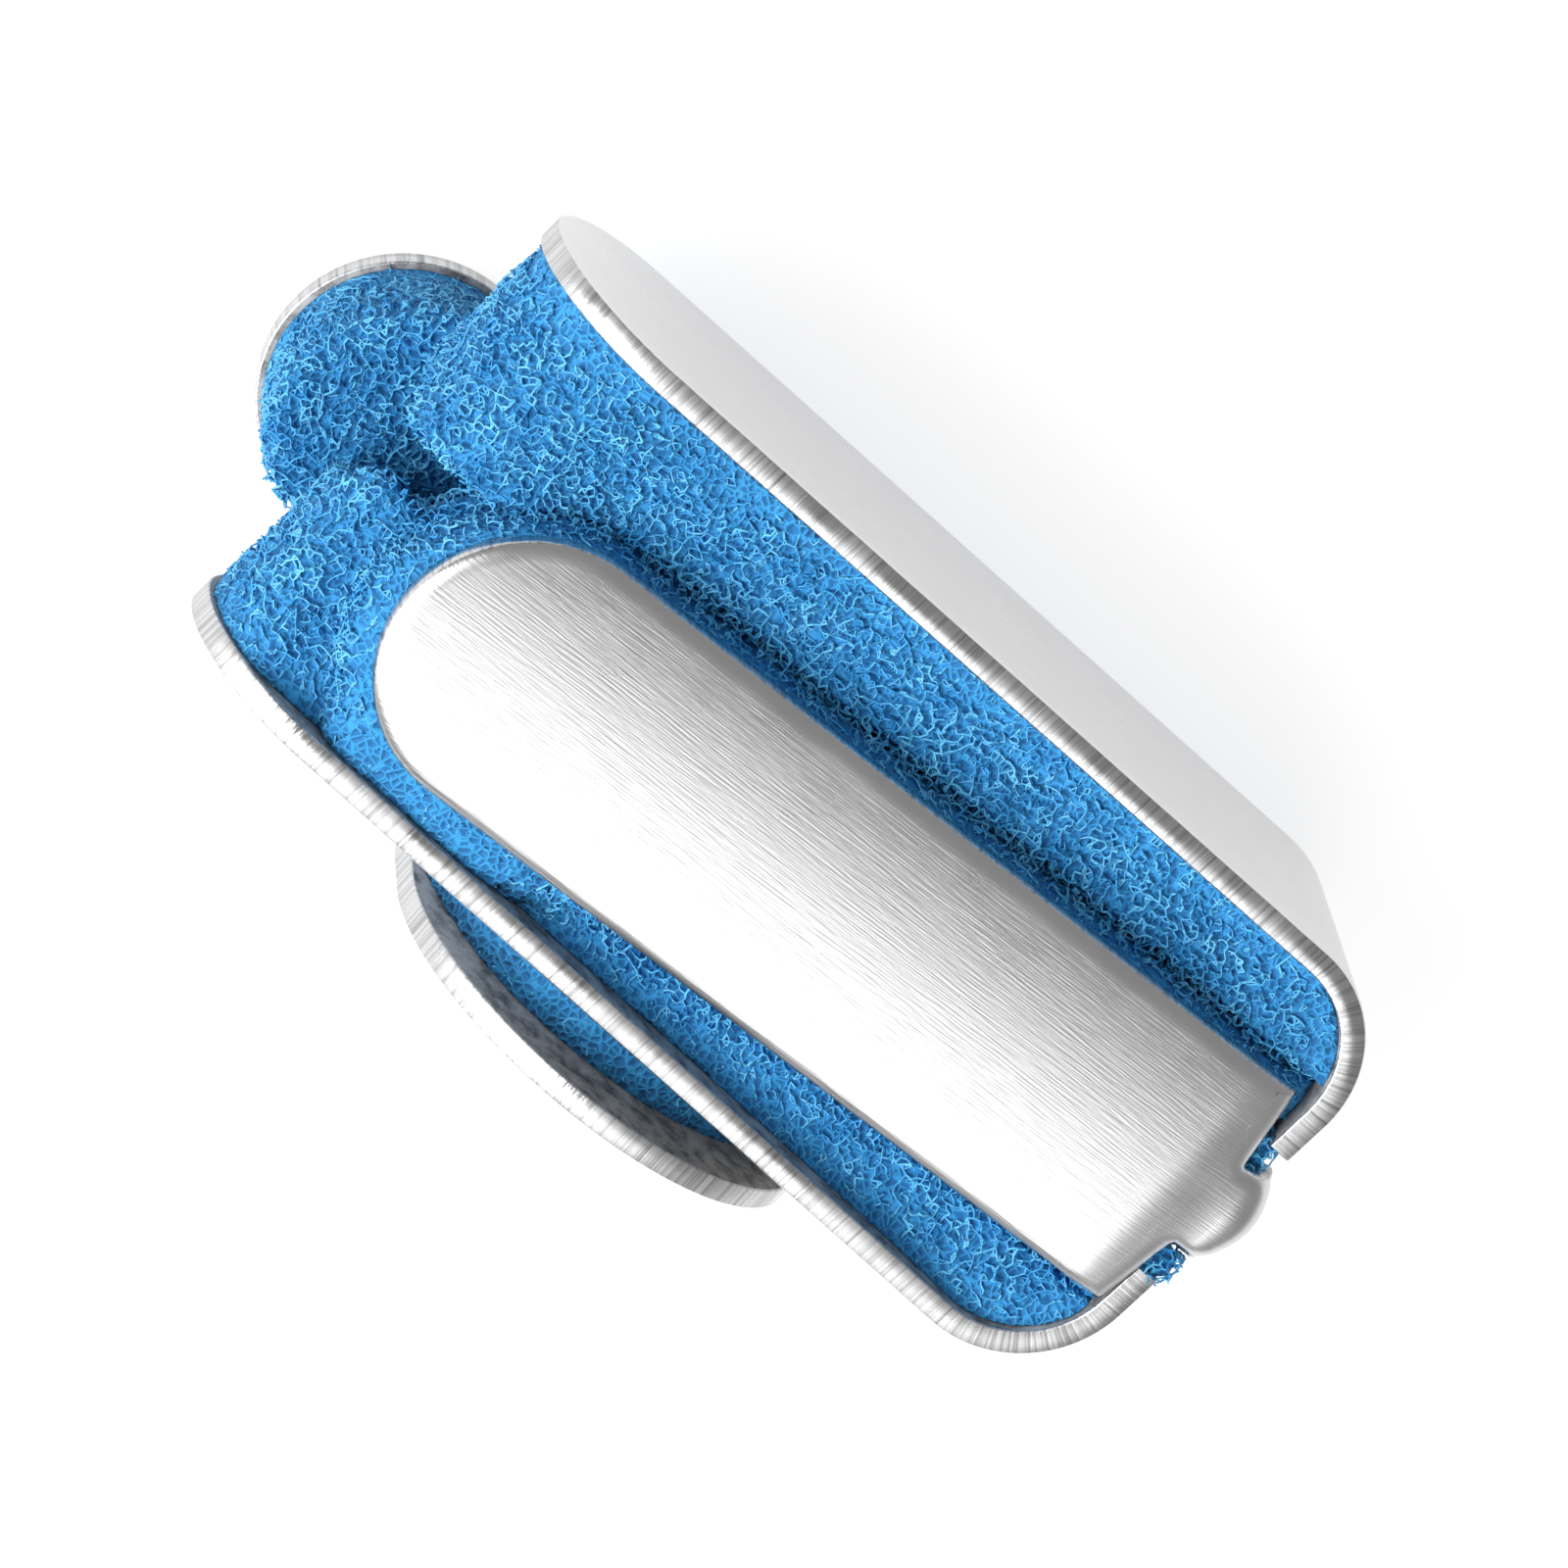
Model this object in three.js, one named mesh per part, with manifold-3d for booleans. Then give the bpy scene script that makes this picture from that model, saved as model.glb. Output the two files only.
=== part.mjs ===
// Four prong finger splint: a die cut aluminium sheet folded into a cage, lined with foam pads.
// +X points to the open end where the finger goes in, +Y to the side with the wing, +Z up.
// The back prong lies flat on the floor. All sizes are in millimetres and degrees.
import * as THREE from "three";
import { mergeVertices } from "three/addons/utils/BufferGeometryUtils.js";
import Module from "manifold-3d";

// Sheet
const SHEET = 1.15; // thickness of the aluminium
const PRONG_WIDTH = 12.7; // every prong is half an inch wide
const CAGE_WIDTH = 23.9; // outside the two side prongs, at the closed end
const CAGE_HEIGHT = 18.1; // from the floor to the outside of the top prong, at its shoulder
const SIDE_TOP = 16.9; // front edge of the two side prongs above the floor
const CORNER_RADIUS = 5.8; // outside radius of the two side bends
const TOP_NECK_WIDTH = 4.54; // neck of the top and back prongs
const SIDE_NECK_WIDTH = 3.5; // neck of the side prongs
const SIDE_SHOULDER = 3.3; // from the hub's centre to the side prongs' shoulders
const SHOULDER_EASE = 0.4; // length of the rounded step between neck and prong

// Prong reaches along X, measured from the outside of the closed end
const RIGHT_REACH = 50.8;
const LEFT_REACH = 50.3;
const TOP_REACH = 46.2;
const BACK_REACH = 53.9;

// How the bent prongs stand, in degrees
const RIGHT_LEAN_IN = 0.5;
const LEFT_LEAN_IN = 0.8;
const TOP_TURN = 3.75;
const TOP_RISE = 0;
const TOP_SIDESTEP = -0.3; // millimetres, the top prong stands a little to the right
const BACK_TURN = 1.0;

// Neck of the top prong: it leaves the hub outwards and folds back over it
const NECK_OUT_ANGLE = 50;
const NECK_OUT_RADIUS = 1.2;
const NECK_OUT_RUN = 0.58;
const NECK_FOLD_RADIUS = 1.47;
const TOP_SHOULDER = 1.2; // from the outside of the closed end

// Bend of the back prong, at the middle of the sheet
const BACK_BEND_RADIUS = 3.0;
const BACK_SHOULDER = 6.2; // from the hub's centre, along the sheet

// Wing on the back prong's left edge
const WING_WIDTH = 22;
const WING_CENTRE = 22.8; // along X
const WING_OUTSIDE = 14.97; // outer face, from the middle of the cage
const WING_TOP = 18.15;
const WING_TURN = 5;
const WING_NECK_WIDTH = 10;
const WING_BEND_RADIUS = 3.0;
const WING_START = 4.0; // inside the back prong, so that the two are one sheet
const WING_NECK_END = 7.6;
const WING_FLARE = 6.0; // length over which the neck widens

// Foam
const BOND_GAP = 0.3; // between foam and metal, and between two pads
const SIDE_PAD = 7.4;
const TOP_PAD = 5.2;
const BACK_PAD = 5.0;
const END_PAD = 6.0;
const WING_PAD = 2.6;
const PAD_INSET = 0.3; // foam edge inside the metal edge
const WING_PAD_SETBACK = 4.4; // bare metal at the wing's tip

// Fineness of the faceted solids
const BEND_STEP = 10; // degrees
const TIP_STEPS = 10;
const TIP_END_ANGLE = 84; // where the rounded tip is closed by a short flat

const PRONG_HALF = PRONG_WIDTH / 2;
const HALF_SHEET = SHEET / 2;
const HUB_HEIGHT = SIDE_TOP - PRONG_HALF;
const radians = THREE.MathUtils.degToRad;

// A bent centreline: runs { run } and bends { bend, radius } from a start point and a heading.
// The heading is counted from the first axis towards the second, and a positive bend turns that way.
function bentLine(start, heading, steps) {
  const pieces = [];
  let at = { s: 0, a: start[0], b: start[1], angle: radians(heading) };
  for (const step of steps) {
    const length = step.run ?? Math.abs(radians(step.bend)) * step.radius;
    const curve = step.run === undefined ? radians(step.bend) / length : 0;
    const piece = { ...at, length, curve };
    pieces.push(piece);
    at = pointOn(piece, length);
  }
  return { pieces, length: at.s };
}

function pointOn(piece, along) {
  const angle = piece.angle + piece.curve * along;
  const s = piece.s + along;
  if (piece.curve === 0)
    return {
      s,
      a: piece.a + Math.cos(angle) * along,
      b: piece.b + Math.sin(angle) * along,
      angle,
    };
  return {
    s,
    a: piece.a + (Math.sin(angle) - Math.sin(piece.angle)) / piece.curve,
    b: piece.b - (Math.cos(angle) - Math.cos(piece.angle)) / piece.curve,
    angle,
  };
}

function lineAt(line, s) {
  const inside = line.pieces.filter((piece) => piece.s <= s + 1e-9);
  const piece = inside.length ? inside[inside.length - 1] : line.pieces[0];
  return pointOn(piece, s - piece.s);
}

// Half width of a paddle: neck, eased shoulder, full width and a rounded tip.
function paddle({ neck, shoulder, ease, full, length }) {
  return {
    length,
    at(s) {
      const fromTip = length - s;
      const round = fromTip < full ? Math.sqrt(full ** 2 - (full - fromTip) ** 2) : full;
      const share = THREE.MathUtils.smoothstep(s, shoulder, shoulder + ease);
      return Math.min(round, neck + (full - neck) * share);
    },
    breaks() {
      const tip = [];
      for (let i = 0; i <= TIP_STEPS; i++) {
        const angle = radians((TIP_END_ANGLE * i) / TIP_STEPS);
        tip.push(length - full + full * Math.sin(angle));
      }
      const flare = [0, 0.25, 0.5, 0.75, 1].map((share) => shoulder + ease * share);
      return [...flare, ...tip];
    },
  };
}

// Places where a strip needs a section, in order and without near doubles.
function stations(line, outline, from) {
  const all = [from, ...outline.breaks()];
  for (const piece of line.pieces) {
    const turn = Math.abs(piece.curve) * piece.length;
    const count = Math.max(1, Math.ceil(THREE.MathUtils.radToDeg(turn) / BEND_STEP));
    for (let i = 0; i <= count; i++) all.push(piece.s + (piece.length * i) / count);
  }
  const last = Math.max(...outline.breaks());
  const inOrder = all.filter((s) => s >= from && s <= last).sort((p, q) => p - q);
  return inOrder.filter((s, i) => i === 0 || s - inOrder[i - 1] > 0.02);
}

// A strip that follows a bent line, from offset low to offset high on its left side.
// place turns the line's two axes and the distance across the strip into X, Y, Z.
function strip(line, outline, low, high, place, from = 0, grow = 0) {
  const rows = stations(line, outline, from);
  const points = [];
  for (const s of rows) {
    const at = lineAt(line, s);
    const half = outline.at(s) + grow;
    const corners = [
      [high, half],
      [high, -half],
      [low, -half],
      [low, half],
    ];
    for (const [offset, across] of corners) {
      const a = at.a - Math.sin(at.angle) * offset;
      const b = at.b + Math.cos(at.angle) * offset;
      points.push(...place(a, b, across));
    }
  }
  const faces = [0, 1, 2, 0, 2, 3];
  for (let i = 0; i + 1 < rows.length; i++)
    for (let k = 0; k < 4; k++) {
      const here = i * 4 + k;
      const beside = i * 4 + ((k + 1) % 4);
      faces.push(here, here + 4, beside + 4, here, beside + 4, beside);
    }
  const end = (rows.length - 1) * 4;
  faces.push(end, end + 2, end + 1, end, end + 3, end + 2);
  const geometry = new THREE.BufferGeometry();
  geometry.setAttribute("position", new THREE.Float32BufferAttribute(points, 3));
  geometry.setIndex(faces);
  return geometry;
}

// Solids for joining and cutting
const wasm = await Module();
wasm.setup();

function toSolid(geometry) {
  const bare = new THREE.BufferGeometry();
  bare.setAttribute("position", geometry.getAttribute("position").clone());
  if (geometry.index) bare.setIndex(geometry.index.clone());
  const merged = mergeVertices(bare, 1e-4);
  const build = (triVerts) =>
    new wasm.Manifold(
      new wasm.Mesh({
        numProp: 3,
        vertProperties: new Float32Array(merged.getAttribute("position").array),
        triVerts,
      }),
    );
  const solid = build(new Uint32Array(merged.index.array));
  if (solid.volume() > 0) return solid;
  return build(new Uint32Array(merged.index.array).reverse());
}

function toGeometry(solid) {
  const mesh = solid.getMesh();
  const geometry = new THREE.BufferGeometry();
  geometry.setAttribute("position", new THREE.BufferAttribute(mesh.vertProperties, 3));
  geometry.setIndex(new THREE.BufferAttribute(mesh.triVerts, 1));
  geometry.computeVertexNormals();
  return geometry;
}

// A flat outline in two axes, extruded along the third between two heights.
function prism(points, low, high, turn) {
  const shape = new THREE.Shape(points.map(([a, b]) => new THREE.Vector2(a, b)));
  const geometry = new THREE.ExtrudeGeometry(shape, {
    depth: high - low,
    bevelEnabled: false,
  });
  geometry.translate(0, 0, low);
  if (turn) geometry.applyMatrix4(turn);
  return toSolid(geometry);
}

function turnedAbout(geometry, x, y, degrees) {
  geometry.translate(-x, -y, 0);
  geometry.rotateZ(radians(degrees));
  geometry.translate(x, y, 0);
  return geometry;
}

// Side prongs: the line runs in X and Y from the hub's centre, and the width is along Z
const CORNER_MIDDLE = CORNER_RADIUS - HALF_SHEET;
const HALF_HUB = CAGE_WIDTH / 2 - CORNER_RADIUS;

function sideProng(side, reach, leanIn) {
  const turn = 90 + leanIn;
  const bentReach = HALF_SHEET + CORNER_MIDDLE * (1 + Math.sin(radians(leanIn)));
  const line = bentLine([0, HALF_SHEET], 0, [
    { run: HALF_HUB },
    { bend: turn, radius: CORNER_MIDDLE },
    { run: (reach - bentReach) / Math.cos(radians(leanIn)) },
  ]);
  const outline = paddle({
    neck: SIDE_NECK_WIDTH / 2,
    shoulder: SIDE_SHOULDER,
    ease: SHOULDER_EASE,
    full: PRONG_HALF,
    length: line.length,
  });
  const place = (across, along, up) => [along, side * across, HUB_HEIGHT + up];
  return { side, line, outline, place };
}

// Top prong: the line runs in X and Z, and the width is along Y
function topProng() {
  const out = radians(NECK_OUT_ANGLE);
  const foldBottom = CAGE_HEIGHT - HALF_SHEET - NECK_FOLD_RADIUS * (1 + Math.sin(out));
  const neckRise = NECK_OUT_RADIUS * Math.sin(out) + NECK_OUT_RUN * Math.cos(out);
  const foldStart =
    HALF_SHEET - NECK_OUT_RADIUS * (1 - Math.cos(out)) - NECK_OUT_RUN * Math.sin(out);
  const foldEnd = foldStart + NECK_FOLD_RADIUS * Math.cos(out);
  const line = bentLine([HALF_SHEET, HUB_HEIGHT], 90, [
    { run: foldBottom - neckRise - HUB_HEIGHT },
    { bend: NECK_OUT_ANGLE, radius: NECK_OUT_RADIUS },
    { run: NECK_OUT_RUN },
    { bend: TOP_RISE - 90 - NECK_OUT_ANGLE, radius: NECK_FOLD_RADIUS },
    { run: TOP_REACH - foldEnd },
  ]);
  const plate = line.pieces[line.pieces.length - 1];
  const outline = paddle({
    neck: TOP_NECK_WIDTH / 2,
    shoulder: plate.s + TOP_SHOULDER - foldEnd,
    ease: SHOULDER_EASE,
    full: PRONG_HALF,
    length: line.length,
  });
  const place = (along, up, across) => [along, across + TOP_SIDESTEP, up];
  const pivot = [foldEnd, TOP_SIDESTEP];
  const cornerSwing = PRONG_HALF * Math.sin(radians(TOP_TURN));
  const padStart = plate.s + SHEET + BOND_GAP + cornerSwing - foldEnd;
  return { line, outline, place, padStart, pivot, foldEnd: plate.s };
}

// Back prong: down from the hub and along the floor
function backProng() {
  const line = bentLine([HALF_SHEET, HUB_HEIGHT], -90, [
    { run: HUB_HEIGHT - HALF_SHEET - BACK_BEND_RADIUS },
    { bend: 90, radius: BACK_BEND_RADIUS },
    { run: BACK_REACH - HALF_SHEET - BACK_BEND_RADIUS },
  ]);
  const plate = line.pieces[line.pieces.length - 1];
  const outline = paddle({
    neck: TOP_NECK_WIDTH / 2,
    shoulder: BACK_SHOULDER,
    ease: SHOULDER_EASE,
    full: PRONG_HALF,
    length: line.length,
  });
  const place = (along, up, across) => [along, across, up];
  return { line, outline, place, plate };
}

// Wing: out from the back prong's left edge along the floor, then up beside the left prong
function wing() {
  const upright = WING_OUTSIDE - HALF_SHEET;
  const line = bentLine([WING_START, HALF_SHEET], 0, [
    { run: upright - WING_BEND_RADIUS - WING_START },
    { bend: 90, radius: WING_BEND_RADIUS },
    { run: WING_TOP - HALF_SHEET - WING_BEND_RADIUS },
  ]);
  const upper = line.pieces[line.pieces.length - 1];
  const outline = paddle({
    neck: WING_NECK_WIDTH / 2,
    shoulder: WING_NECK_END - WING_START,
    ease: WING_FLARE,
    full: WING_WIDTH / 2,
    length: line.length,
  });
  const place = (across, up, along) => [WING_CENTRE + along, across, up];
  return { line, outline, place, upper };
}

const rightProng = sideProng(-1, RIGHT_REACH, RIGHT_LEAN_IN);
const leftProng = sideProng(1, LEFT_REACH, LEFT_LEAN_IN);
const top = topProng();
const back = backProng();
const leftWing = wing();

const turnTop = (geometry) => turnedAbout(geometry, ...top.pivot, TOP_TURN);
const turnBack = (geometry) => turnedAbout(geometry, 0, 0, BACK_TURN);
const turnWing = (geometry) => turnedAbout(geometry, WING_CENTRE, WING_OUTSIDE, WING_TURN);

// One sheet: the hub and every prong are one solid
function sheetSolid() {
  const plain = ({ line, outline, place }) => strip(line, outline, -HALF_SHEET, HALF_SHEET, place);
  return [
    plain(rightProng),
    plain(leftProng),
    turnTop(plain(top)),
    turnBack(plain(back)),
    turnWing(plain(leftWing)),
  ]
    .map(toSolid)
    .reduce((whole, piece) => whole.add(piece));
}

// Pad under the top prong and pad on the back prong, each a strip on the inner face
const padInner = HALF_SHEET + BOND_GAP;

function shortened(outline, less, narrower) {
  return paddle({
    neck: PRONG_HALF - narrower,
    shoulder: 0,
    ease: SHOULDER_EASE,
    full: PRONG_HALF - narrower,
    length: outline.length - less,
  });
}

function topPad() {
  const outline = shortened(top.outline, PAD_INSET, PAD_INSET);
  return turnTop(strip(top.line, outline, -padInner - TOP_PAD, -padInner, top.place, top.padStart));
}

function backPad() {
  const outline = shortened(back.outline, PAD_INSET, PAD_INSET);
  return turnBack(strip(back.line, outline, padInner, padInner + BACK_PAD, back.place, back.plate.s));
}

// The room that the top and back prongs take with their pads, kept clear by the other pads
function topRoom() {
  const low = -padInner - TOP_PAD - BOND_GAP;
  const outline = shortened(top.outline, 0, 0);
  return toSolid(turnTop(strip(top.line, outline, low, padInner, top.place, top.foldEnd, BOND_GAP)));
}

function backRoom() {
  const high = padInner + BACK_PAD + BOND_GAP;
  const outline = shortened(back.outline, 0, 0);
  return toSolid(turnBack(strip(back.line, outline, -padInner, high, back.place, back.plate.s, BOND_GAP)));
}

// Side pad: the room between the side prong's inner face and the finger, with the prong's outline
function sidePad({ side, line, outline }) {
  const offsetPoint = (s, offset) => {
    const at = lineAt(line, s);
    return [at.b + Math.cos(at.angle) * offset, side * (at.a - Math.sin(at.angle) * offset)];
  };
  const bend = line.pieces[1];
  const wall = line.pieces[2];
  const plan = [];
  const count = Math.ceil(90 / BEND_STEP);
  for (let i = 0; i <= count; i++) plan.push(offsetPoint(bend.s + (bend.length * i) / count, padInner));
  plan.push(offsetPoint(line.length, padInner));
  plan.push(offsetPoint(line.length, padInner + SIDE_PAD));
  const innerAtWall = offsetPoint(wall.s, padInner + SIDE_PAD);
  plan.push([SHEET + BOND_GAP, innerAtWall[1]]);

  const tip = offsetPoint(line.length, 0)[0] - PAD_INSET;
  const half = PRONG_HALF - PAD_INSET;
  const profile = [
    [0, -half],
    [tip - half, -half],
  ];
  for (let i = -TIP_STEPS + 1; i < TIP_STEPS; i++) {
    const angle = radians((90 * i) / TIP_STEPS);
    profile.push([tip - half + half * Math.cos(angle), half * Math.sin(angle)]);
  }
  profile.push([tip - half, half], [0, half]);

  const inPlan = prism(plan, HUB_HEIGHT - PRONG_HALF, HUB_HEIGHT + PRONG_HALF);
  const standing = new THREE.Matrix4()
    .makeTranslation(0, 0, HUB_HEIGHT)
    .multiply(new THREE.Matrix4().makeRotationX(Math.PI / 2));
  const inProfile = prism(profile, -CAGE_WIDTH, CAGE_WIDTH, standing);
  return inPlan
    .intersect(inProfile)
    .subtract(topRoom())
    .subtract(backRoom());
}

// End pad: a block of foam on the hub, between the side pads
function endPad() {
  const half = CAGE_WIDTH / 2 - SHEET - SIDE_PAD - 2 * BOND_GAP;
  const near = SHEET + BOND_GAP;
  const far = near + END_PAD;
  const plan = [
    [near, -half],
    [far, -half],
    [far, half],
    [near, half],
  ];
  const low = SHEET + BACK_PAD + 2 * BOND_GAP;
  const high = CAGE_HEIGHT - SHEET - TOP_PAD - 2 * BOND_GAP;
  return prism(plan, low, high);
}

// Wing pad: on the wing's inner face, squeezed against the left prong's outside
function wingPad() {
  const outline = paddle({
    neck: WING_WIDTH / 2 - PAD_INSET,
    shoulder: 0,
    ease: SHOULDER_EASE,
    full: WING_WIDTH / 2 - PAD_INSET,
    length: leftWing.line.length - WING_PAD_SETBACK,
  });
  const low = padInner;
  const high = padInner + WING_PAD;
  const pad = strip(leftWing.line, outline, low, high, leftWing.place, leftWing.upper.s);
  const room = HALF_SHEET + BOND_GAP;
  const { line, outline: prongOutline, place } = leftProng;
  const beside = strip(line, prongOutline, -room, room + SIDE_PAD, place, line.pieces[2].s, BOND_GAP);
  return toSolid(turnWing(pad)).subtract(toSolid(beside));
}

// Finishes
const brushedAluminium = () =>
  new THREE.MeshStandardMaterial({ color: 0xd4d3d6, roughness: 0.34, metalness: 1 });
const blueFoam = () =>
  new THREE.MeshStandardMaterial({ color: 0x2f86cf, roughness: 0.95, metalness: 0 });

function piece(name, solid, material) {
  const mesh = new THREE.Mesh(toGeometry(solid), material);
  mesh.name = name;
  return mesh;
}

const splint = new THREE.Group();
splint.add(
  piece("aluminium_sheet", sheetSolid(), brushedAluminium()),
  piece("top_pad", toSolid(topPad()), blueFoam()),
  piece("back_pad", toSolid(backPad()), blueFoam()),
  piece("right_side_pad", sidePad(rightProng), blueFoam()),
  piece("left_side_pad", sidePad(leftProng), blueFoam()),
  piece("end_pad", endPad(), blueFoam()),
  piece("wing_pad", wingPad(), blueFoam()),
);

// The origin is on the floor, under the middle of the whole splint
const box = new THREE.Box3().setFromObject(splint);
const middle = box.getCenter(new THREE.Vector3());
splint.position.set(-middle.x, -middle.y, -box.min.z);

export default splint;
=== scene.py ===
import math
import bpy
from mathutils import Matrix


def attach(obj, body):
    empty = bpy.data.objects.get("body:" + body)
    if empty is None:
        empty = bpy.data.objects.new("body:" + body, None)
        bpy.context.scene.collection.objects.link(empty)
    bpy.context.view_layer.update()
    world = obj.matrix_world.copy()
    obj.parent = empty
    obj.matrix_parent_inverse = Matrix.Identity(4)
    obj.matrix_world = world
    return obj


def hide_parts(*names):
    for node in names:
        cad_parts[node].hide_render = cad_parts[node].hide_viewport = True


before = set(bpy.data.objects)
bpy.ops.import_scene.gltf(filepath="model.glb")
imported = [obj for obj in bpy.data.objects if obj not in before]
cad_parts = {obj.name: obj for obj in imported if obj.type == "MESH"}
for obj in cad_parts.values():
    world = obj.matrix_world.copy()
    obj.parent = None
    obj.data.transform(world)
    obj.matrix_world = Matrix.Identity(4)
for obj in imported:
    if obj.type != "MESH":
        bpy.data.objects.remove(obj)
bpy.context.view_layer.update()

from types import SimpleNamespace

import bmesh
import bpy
import numpy as np
from mathutils import Matrix, Vector, kdtree, noise
from mathutils.bvhtree import BVHTree

bl_info = {
    "name": "Foam lined finger splint",
    "version": (1, 0, 0),
    "blender": (4, 5, 0),
    "location": "3D View > Sidebar > Splint",
    "description": "Builds a folded aluminium finger splint with open cell foam pads on a pale stage",
    "category": "Add Mesh",
}

MM = 0.001
SIZE_DIGITS = 5
BODY = "root"


class SplintSheetSizes(bpy.types.PropertyGroup):
    """Sizes of the folded aluminium sheet"""

    thickness: bpy.props.FloatProperty(
        name="Sheet", description="Thickness of the aluminium",
        default=1.15 * MM, min=0.2 * MM, unit="LENGTH",
    )
    prong_width: bpy.props.FloatProperty(
        name="Prong width", description="Width of every prong",
        default=12.7 * MM, min=1.0 * MM, unit="LENGTH",
    )
    cage_width: bpy.props.FloatProperty(
        name="Cage width", description="Outside the two side prongs",
        default=23.9 * MM, min=5.0 * MM, unit="LENGTH",
    )
    cage_height: bpy.props.FloatProperty(
        name="Cage height", description="From the floor to the top prong's outer face",
        default=18.1 * MM, min=5.0 * MM, unit="LENGTH",
    )
    side_top: bpy.props.FloatProperty(
        name="Side top", description="Front edge of the side prongs above the floor",
        default=16.9 * MM, min=5.0 * MM, unit="LENGTH",
    )
    right_reach: bpy.props.FloatProperty(
        name="Right reach", description="From the closed end to the right prong's tip",
        default=50.8 * MM, min=20.0 * MM, unit="LENGTH",
    )
    left_reach: bpy.props.FloatProperty(
        name="Left reach", description="From the closed end to the left prong's tip",
        default=50.3 * MM, min=20.0 * MM, unit="LENGTH",
    )
    top_reach: bpy.props.FloatProperty(
        name="Top reach", description="From the closed end to the top prong's tip",
        default=46.2 * MM, min=20.0 * MM, unit="LENGTH",
    )
    back_reach: bpy.props.FloatProperty(
        name="Back reach", description="From the closed end to the back prong's tip",
        default=53.9 * MM, min=20.0 * MM, unit="LENGTH",
    )
    wing_width: bpy.props.FloatProperty(
        name="Wing width", description="Width of the round wing along the splint",
        default=22.0 * MM, min=12.0 * MM, unit="LENGTH",
    )
    corner_radius: bpy.props.FloatProperty(
        name="Corner radius", description="Outside radius of the two side bends",
        default=5.8 * MM, min=1.5 * MM, unit="LENGTH",
    )
    rim_round: bpy.props.FloatProperty(
        name="Rim rounding", description="Rounding of the sheared edges",
        default=0.09 * MM, min=0.01 * MM, unit="LENGTH",
    )
    shear_roll: bpy.props.FloatProperty(
        name="Shear roll", description="How far the shear rolls the top prong's edge over",
        default=0.26 * MM, min=0.01 * MM, unit="LENGTH",
    )
    crown: bpy.props.FloatProperty(
        name="Crown", description="Drop of the top prong's long edges below its middle",
        default=0.4 * MM, min=0.0, unit="LENGTH",
    )


class SplintFoamSizes(bpy.types.PropertyGroup):
    """Sizes of the open cell foam"""

    pore: bpy.props.FloatProperty(
        name="Pore", description="Spacing of the foam's nodes",
        default=0.33 * MM, min=0.2 * MM, unit="LENGTH",
    )
    strut_radius: bpy.props.FloatProperty(
        name="Strut radius", description="Half the thickness of a foam strut",
        default=0.052 * MM, min=0.01 * MM, unit="LENGTH",
    )
    skin_depth: bpy.props.FloatProperty(
        name="Skin depth", description="Depth of the open struts on the outer faces",
        default=0.46 * MM, min=0.1 * MM, unit="LENGTH",
    )
    hollow_depth: bpy.props.FloatProperty(
        name="Hollow depth", description="Depth of the open struts inside the finger's hollow",
        default=0.16 * MM, min=0.05 * MM, unit="LENGTH",
    )
    core_depth: bpy.props.FloatProperty(
        name="Core depth", description="How far the core lies below the surface",
        default=0.4 * MM, min=0.0, unit="LENGTH",
    )
    swell: bpy.props.FloatProperty(
        name="Swell", description="How far the foam stands out of its plain block",
        default=0.1 * MM, min=0.0, unit="LENGTH",
    )
    spur: bpy.props.FloatProperty(
        name="Spur", description="Length of the cut strut ends on the surface",
        default=0.13 * MM, min=0.0, unit="LENGTH",
    )


class SplintFinish(bpy.types.PropertyGroup):
    """Colours of the splint"""

    metal: bpy.props.FloatVectorProperty(
        name="Aluminium", description="Colour of the brushed faces",
        subtype="COLOR", size=3, min=0, max=1, default=(0.64, 0.64, 0.645),
    )
    strut_light: bpy.props.FloatVectorProperty(
        name="Foam strut", description="Light colour of the foam's struts",
        subtype="COLOR", size=3, min=0, max=1, default=(0.12, 0.49, 0.78),
    )
    strut_dark: bpy.props.FloatVectorProperty(
        name="Foam strut shade", description="Dark colour of the foam's struts",
        subtype="COLOR", size=3, min=0, max=1, default=(0.025, 0.27, 0.59),
    )
    # Painted shade: the core is coloured darker than the struts, standing in for the shade deep inside the
    # foam's open cells.
    core: bpy.props.FloatVectorProperty(
        name="Foam core", description="Colour deep in the foam",
        subtype="COLOR", size=3, min=0, max=1, default=(0.009, 0.14, 0.36),
    )


def in_mm(group):
    """A group's sizes in millimetres, the unit of nearly every other length in this file."""
    names = list(type(group).__annotations__)
    values = np.array([getattr(group, name) for name in names]) / MM
    values = values.round(SIZE_DIGITS).astype(np.float32)
    return SimpleNamespace(**dict(zip(names, values.tolist())))


def linked(name, data):
    """A new object in the scene."""
    obj = bpy.data.objects.new(name, data)
    bpy.context.scene.collection.objects.link(obj)
    return obj


# Bent lines: runs and bends in one plane, as the sheet is folded

def bent_line(start, heading, steps):
    """Pieces of a line of runs ("run", length) and bends ("bend", degrees, radius)."""
    pieces = []
    s, a, b, angle = 0.0, start[0], start[1], math.radians(heading)
    for step in steps:
        if step[0] == "run":
            length, curve = step[1], 0.0
        else:
            length = abs(math.radians(step[1])) * step[2]
            curve = math.radians(step[1]) / length
        piece = (s, a, b, angle, length, curve)
        pieces.append(piece)
        a, b, angle = point_on(piece, length)
        s += length
    return pieces


def point_on(piece, along):
    """Place and heading at a distance along one piece of a line."""
    s, a, b, angle, length, curve = piece
    turned = angle + curve * along
    if curve == 0.0:
        return a + math.cos(angle) * along, b + math.sin(angle) * along, angle
    return (
        a + (math.sin(turned) - math.sin(angle)) / curve,
        b - (math.cos(turned) - math.cos(angle)) / curve,
        turned,
    )


def line_at(line, s):
    """Place and heading at a distance along a line."""
    piece = line[0]
    for other in line:
        if other[0] <= s + 1e-9:
            piece = other
    return point_on(piece, s - piece[0])


def line_length(line):
    return line[-1][0] + line[-1][4]


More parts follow.
